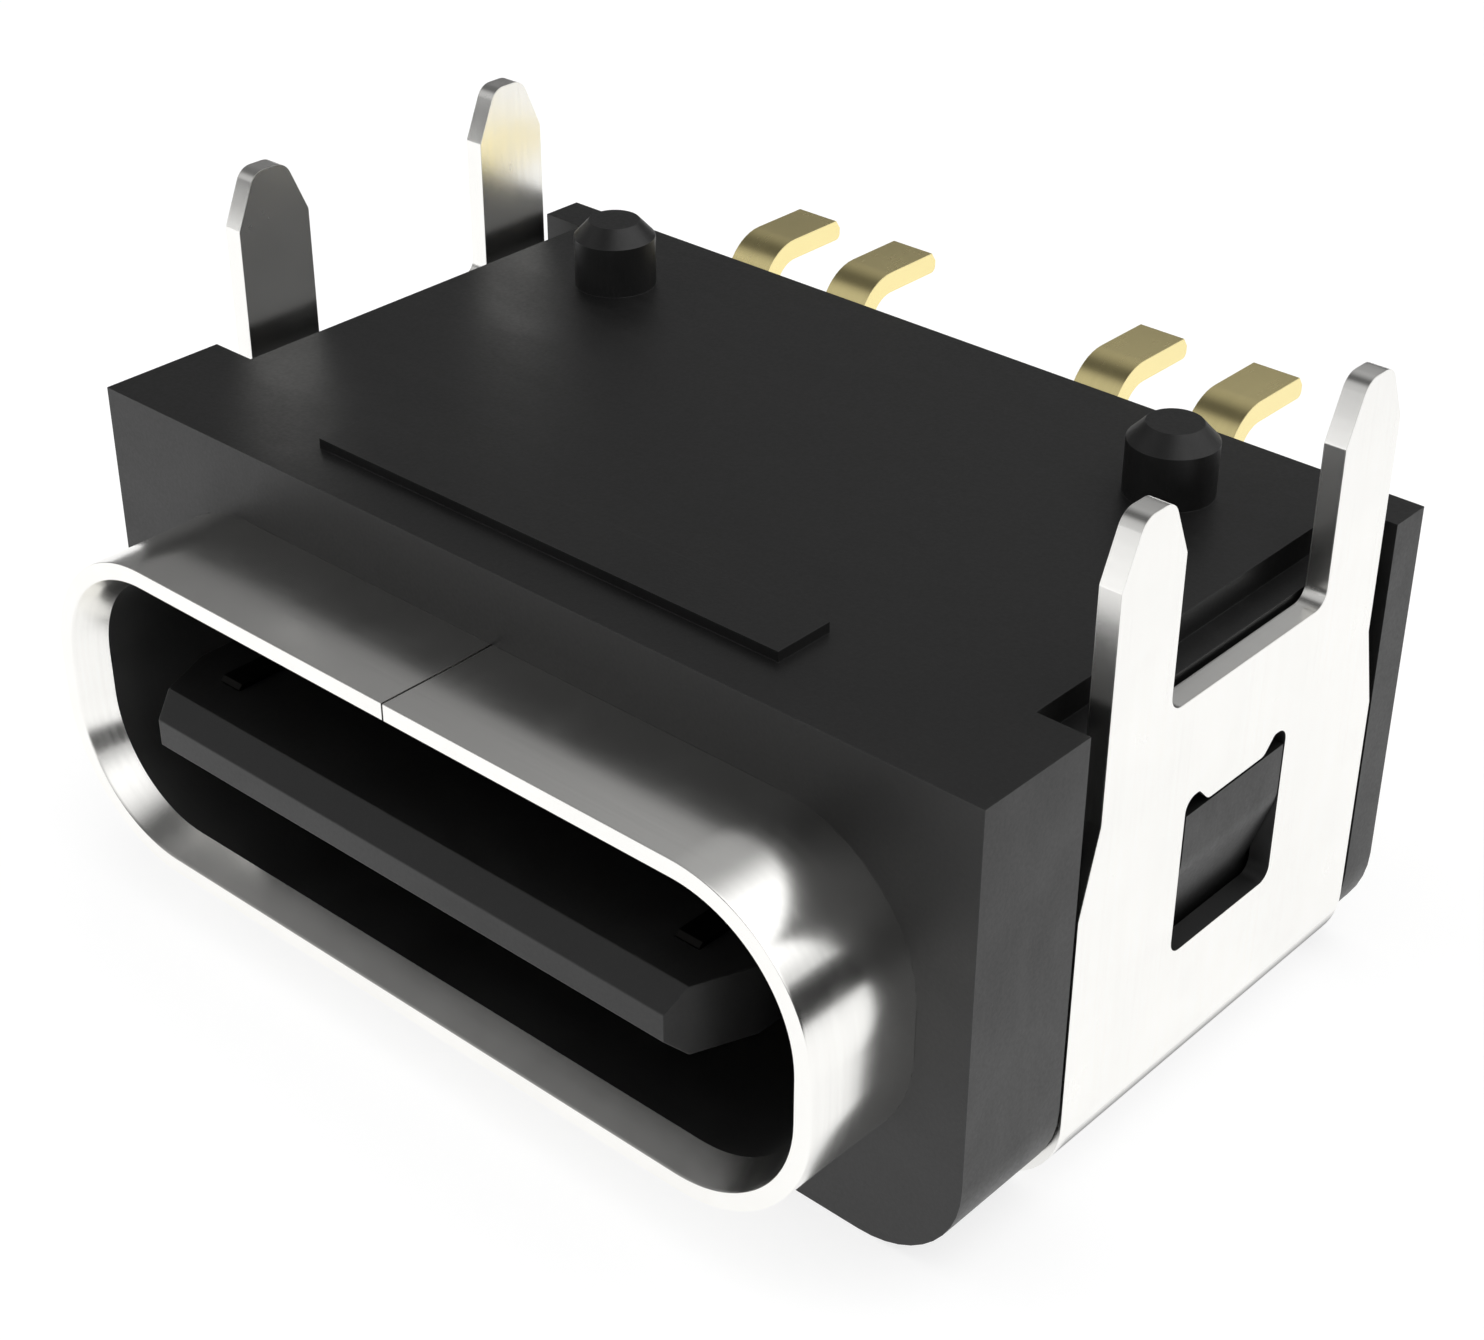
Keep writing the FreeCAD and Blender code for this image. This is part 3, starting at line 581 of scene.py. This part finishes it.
def wall_outline():
    """One wall, from the front of the lower bend over both legs to the rear of the bend."""
    front, rear = LEG_MIDDLES
    half = LEG_WIDTH / 2.0
    return rounded_outline([
        (BRACKET_FRONT, BEND_RADIUS, 0.0),
        (BRACKET_FRONT, SHOULDER_FOOT, WALL_CORNER),
        (front - half, SHOULDER_TOP, WALL_CORNER),
        *leg_corners(front),
        (front + half, CROSSBAR_TOP, CROSSBAR_CORNER),
        (rear - half, CROSSBAR_TOP, CROSSBAR_CORNER),
        *leg_corners(rear),
        (rear + half, SHOULDER_TOP, WALL_CORNER),
        (BRACKET_REAR, SHOULDER_FOOT, WALL_CORNER),
        (BRACKET_REAR, BEND_RADIUS, 0.0),
    ])


def window_outline():
    """The window, from its sill up one side, along the ears and the bar, and down the other."""
    middle = sum(LEG_MIDDLES) / 2.0
    half = WINDOW_WIDTH / 2.0
    return rounded_outline([
        (middle - half, WINDOW_SILL, WINDOW_CORNER),
        (middle + half, WINDOW_SILL, WINDOW_CORNER),
        (middle + half, EAR_TOP, WINDOW_CORNER),
        (middle + half - EAR_WIDTH + EAR_SLOPE, EAR_TOP, EAR_CREST_RADIUS),
        (middle + half - EAR_WIDTH, WINDOW_BAR, EAR_FOOT_RADIUS),
        (middle - half + EAR_WIDTH, WINDOW_BAR, EAR_FOOT_RADIUS),
        (middle - half + EAR_WIDTH - EAR_SLOPE, EAR_TOP, EAR_CREST_RADIUS),
        (middle - half, EAR_TOP, WINDOW_CORNER),
    ])


def fold_pairs():
    """The folded strip under the housing: pairs of (x, z) outside and inside the sheet, side to side."""
    centre = (BRACKET_OUTSIDE - BEND_RADIUS, BEND_RADIUS)
    outer = arc(centre, BEND_RADIUS, 0.0, -90.0, BEND_STEPS)
    inner = arc(centre, BEND_RADIUS - BRACKET_SHEET, 0.0, -90.0, BEND_STEPS)
    right = list(zip(outer, inner))
    left = [[(-x, z) for x, z in pair] for pair in reversed(right)]
    return right + left


def build_bracket(sheet, cut):
    """The folded sheet, with the cut faces of its windows in a darker material of their own: a duller
    sheared edge, and painted shade in the window.
    """
    outline = wall_outline()
    window = window_outline()
    flat = outline + window
    triangles = tessellate_polygon([[p.to_3d() for p in outline], [p.to_3d() for p in window]])
    vertices = []
    faces = []
    window_faces = []
    for side in (-1, 1):
        near = len(vertices)
        far = near + len(flat)
        for start, x in ((near, BRACKET_OUTSIDE - BRACKET_SHEET), (far, BRACKET_OUTSIDE)):
            vertices += [(side * x, p.x, p.y) for p in flat]
            faces += [tuple(start + i for i in t) for t in triangles]
        # The outline's last side stays open, because the wall goes on into the bend there
        for a in range(len(outline) - 1):
            b = a + 1
            faces.append((near + a, near + b, far + b, far + a))
        for index in range(len(window)):
            a = len(outline) + index
            b = len(outline) + (index + 1) % len(window)
            window_faces.append(len(faces))
            faces.append((near + a, near + b, far + b, far + a))
    folds = fold_pairs()
    start = len(vertices)
    for pair in folds:
        for x, z in pair:
            vertices += [(x, BRACKET_FRONT, z), (x, BRACKET_REAR, z)]
    for index in range(len(folds) - 1):
        a = start + index * 4
        b = a + 4
        faces.append((a, a + 1, b + 1, b))
        faces.append((a + 2, b + 2, b + 3, a + 3))
        faces.append((a, b, b + 2, a + 2))
        faces.append((a + 1, a + 3, b + 3, b + 1))
    bracket = mesh_piece("bracket_sheet", vertices, faces, sheet)
    bracket.data.materials.append(cut)
    for index in window_faces:
        bracket.data.polygons[index].material_index = 1
    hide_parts("cover_bracket")
    ease_edges(bracket, BRACKET_EASE, segments=3)
    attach(bracket, "root")


# Stage, light and camera

def floor_material():
    """Pale paper that shows white to the camera and in reflections, and keeps the object's shadow."""
    material, tree, place = new_material("stage_paper")
    dark, light = (grey(level) for level in PAPER_GREYS)
    paper = tree.mixed(tree.noise(place, PAPER_TOOTH_SCALE, detail=3.0), dark, light)
    matt = tree.add("ShaderNodeBsdfDiffuse", {"Color": paper}).outputs["BSDF"]
    glow = tree.add("ShaderNodeEmission", {"Color": grey(1.0), "Strength": SHOWN_GLOW}).outputs["Emission"]
    soft = tree.add("ShaderNodeBsdfDiffuse", {"Color": grey(SHOWN_DIFFUSE)}).outputs["BSDF"]
    shown = tree.add("ShaderNodeAddShader", {0: glow, 1: soft}).outputs["Shader"]
    path = tree.add("ShaderNodeLightPath")
    seen = tree.maths("ADD", path.outputs["Is Camera Ray"], path.outputs["Is Glossy Ray"])
    seen = tree.maths("ADD", seen, path.outputs["Is Transmission Ray"], clamp=True)
    both = tree.add("ShaderNodeMixShader", {0: seen, 1: matt, 2: shown}).outputs["Shader"]
    tree.add("ShaderNodeOutputMaterial", {"Surface": both})
    return material


def build_floor():
    """A pale floor that turns up into a low wall all round."""
    rings = [(radius, 0.0) for radius in FLOOR_RINGS]
    rings += arc((WALL_FOOT, WALL_TURN), WALL_TURN, -90.0, WALL_TURN_END, WALL_TURN_STEPS)
    rings.append(WALL_TOP)
    vertices = []
    for radius, height in rings:
        for side in range(STAGE_SIDES):
            angle = 2.0 * math.pi * side / STAGE_SIDES
            vertices.append((radius * math.cos(angle), radius * math.sin(angle), height))
    hub = len(vertices)
    vertices.append((0.0, 0.0, 0.0))
    faces = []
    for side in range(STAGE_SIDES):
        after = (side + 1) % STAGE_SIDES
        faces.append((hub, side, after))
        for ring in range(len(rings) - 1):
            a = ring * STAGE_SIDES
            b = a + STAGE_SIDES
            faces.append((a + side, b + side, b + after, a + after))
    floor = mesh_piece("stage_floor", vertices, faces, floor_material())


def direction(azimuth, elevation):
    """Unit vector: azimuth from +Y towards +X, elevation above the floor, in degrees."""
    a = math.radians(azimuth)
    e = math.radians(elevation)
    return Vector((math.sin(a) * math.cos(e), math.cos(a) * math.cos(e), math.sin(e)))


def build_card(name, azimuths, reach, low, high, level):
    """A grey card bent round one side, out of frame, that keeps the pale wall out of reflections."""
    vertices = []
    for azimuth in range(azimuths[0], azimuths[1] + 1, CARD_STEP):
        out = direction(azimuth, 0.0) * reach
        vertices += [(out.x, out.y, low), (out.x, out.y, high)]
    faces = [(i, i + 2, i + 3, i + 1) for i in range(0, len(vertices) - 2, 2)]
    material, tree, place = new_material(name + "_cloth")
    dark, light = (grey(level * share) for share in CARD_CLOTH_TINTS)
    cloth = tree.mixed(tree.noise(place, CARD_CLOTH_SCALE), dark, light)
    matt = tree.add("ShaderNodeBsdfDiffuse", {"Color": cloth}).outputs["BSDF"]
    tree.add("ShaderNodeOutputMaterial", {"Surface": matt})
    card = mesh_piece(name, vertices, faces, material)
    card.visible_camera = False


def fill_lamp(name, azimuth, elevation, size, radiance):
    """A wide square lamp that lights the object and leaves no mirror image in the metal."""
    data = bpy.data.lights.new(name, "AREA")
    data.shape = "SQUARE"
    data.size = size * MM
    data.energy = radiance * math.pi * data.size ** 2
    lamp = bpy.data.objects.new(name, data)
    towards = direction(azimuth, elevation)
    lamp.location = towards * LAMP_DISTANCE * MM + Vector((0.0, 0.0, LAMP_AIM * MM))
    lamp.rotation_euler = towards.to_track_quat("Z", "Y").to_euler()
    lamp.visible_camera = False
    lamp.visible_glossy = False
    bpy.context.scene.collection.objects.link(lamp)


def build_world():
    """Studio air: dim all round, one wide soft light high on the right, and a glow behind and in front."""
    world = bpy.data.worlds.new("studio")
    bpy.context.scene.world = world
    tree = Tree(world)
    towards = tree.add("ShaderNodeTexCoord").outputs["Generated"]
    height = tree.part(towards, "Z")

    def glow(azimuth, elevation, dots, brightness):
        """Light round one direction, from nothing at the first dot product to full at the second."""
        turned = tree.dot(towards, direction(azimuth, elevation))
        return tree.ranged(turned, dots, (0.0, brightness), "SMOOTHSTEP")

    above = tree.ranged(height, SOFT_LIGHT_HEIGHTS, NONE_TO_ALL, "SMOOTHSTEP")
    right = glow(azimuth=72.0, elevation=45.0, dots=(0.54, 0.92), brightness=1.28)
    soft_light = tree.maths("MULTIPLY", right, above)
    behind = glow(azimuth=-10.0, elevation=50.0, dots=(0.75, 0.98), brightness=0.25)
    front = glow(azimuth=-140.0, elevation=34.0, dots=(0.84, 0.98), brightness=0.4)
    dim = tree.ranged(height, DIM_HEIGHTS, DIM_LEVELS)
    total = tree.added(tree.added(soft_light, behind), tree.added(front, dim))
    sky = tree.add("ShaderNodeBackground", {"Color": grey(1.0), "Strength": total})
    tree.add("ShaderNodeOutputWorld", {"Surface": sky.outputs["Background"]})


def build_camera():
    """The photo's camera. Its azimuth is from -Y towards +X, and its roll turns the frame."""
    data = bpy.data.cameras.new("camera")
    data.lens = CAMERA_LENS
    data.sensor_width = CAMERA_SENSOR
    data.clip_start = CAMERA_NEAR * MM
    data.clip_end = CAMERA_FAR * MM
    camera = bpy.data.objects.new("camera", data)
    bpy.context.scene.collection.objects.link(camera)
    a, e, r = (math.radians(angle) for angle in (CAMERA_AZIMUTH, CAMERA_ELEVATION, CAMERA_ROLL))
    back = Vector((math.sin(a) * math.cos(e), -math.cos(a) * math.cos(e), math.sin(e)))
    right = Vector((math.cos(a), math.sin(a), 0.0))
    up = back.cross(right)
    turned_right = right * math.cos(r) + up * math.sin(r)
    turned_up = up * math.cos(r) - right * math.sin(r)
    axes = Matrix((turned_right, turned_up, back)).transposed().to_4x4()
    camera.matrix_world = Matrix.Translation(Vector(CAMERA_PLACE) * MM) @ axes
    bpy.context.scene.camera = camera


# Dressing

def dress(node, material, width):
    """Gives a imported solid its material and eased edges."""
    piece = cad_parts[node]
    piece.data.materials.clear()
    piece.data.materials.append(material)
    ease_edges(piece, width)


STEEL = (0.99, 0.982, 0.955, 1.0)
GOLD = (1.0, 0.86, 0.425, 1.0)

black = moulded_plastic("housing_black", level=0.006, rough=0.44, grain_height=0.0009 * MM)
tongue_black = moulded_plastic("tongue_black", level=0.007, rough=0.47, grain_height=0.0006 * MM)
shell_metal = rolled_sheet("shell_nickel", STEEL, rough=0.2, line_height=0.00006 * MM)
# Painted shade: the tube's inside is a dark grey metal, for the little light that reaches in
shell_inside_painted_shade = rolled_sheet("shell_inside_painted_shade", grey(0.3), rough=0.42, line_height=0.00008 * MM)
# The bracket's lower bend has painted shade
bracket_metal = rolled_sheet("bracket_nickel", STEEL, rough=0.24, line_height=0.00006 * MM, bend_shade=True)
# The window's cut faces: a duller sheared edge, darkened further as painted shade
bracket_cut_and_shade = rolled_sheet("bracket_cut_and_shade", grey(0.12), rough=0.5, line_height=0.00012 * MM)
plate_metal = rolled_sheet("plate_nickel", STEEL, rough=0.25, line_height=0.00012 * MM)
contact_metal = rolled_sheet("contact_gold_plate", GOLD, rough=0.25, line_height=0.00003 * MM,
                             across_x=True, mouth_shade=True)

dress("housing", black, HOUSING_EASE)
dress("tongue_moulding", tongue_black, FINE_EASE)
dress("mid_plate", plate_metal, FINE_EASE)
for row in ("upper", "lower"):
    for use in ("ground", "power"):
        for side in ("left", "right"):
            dress(f"{row}_contact_{use}_{side}", contact_metal, FINE_EASE)
build_shell(shell_metal, shell_inside_painted_shade)
build_bracket(bracket_metal, bracket_cut_and_shade)

build_floor()
build_world()
build_card("stage_flag_right", (35, 130), reach=27.0, low=0.2, high=10.5, level=0.02)
build_card("stage_flag_left", (-110, 20), reach=46.0, low=3.0, high=21.0, level=0.25)
build_card("stage_flag_front", (-140, -110), reach=46.0, low=11.0, high=21.0, level=0.25)
fill_lamp("fill_above", azimuth=0.0, elevation=90.0, size=70.0, radiance=1.0)
fill_lamp("fill_front_left", azimuth=-120.0, elevation=40.0, size=60.0, radiance=1.6)
build_camera()

view = bpy.context.scene.view_settings
view.view_transform = "Standard"
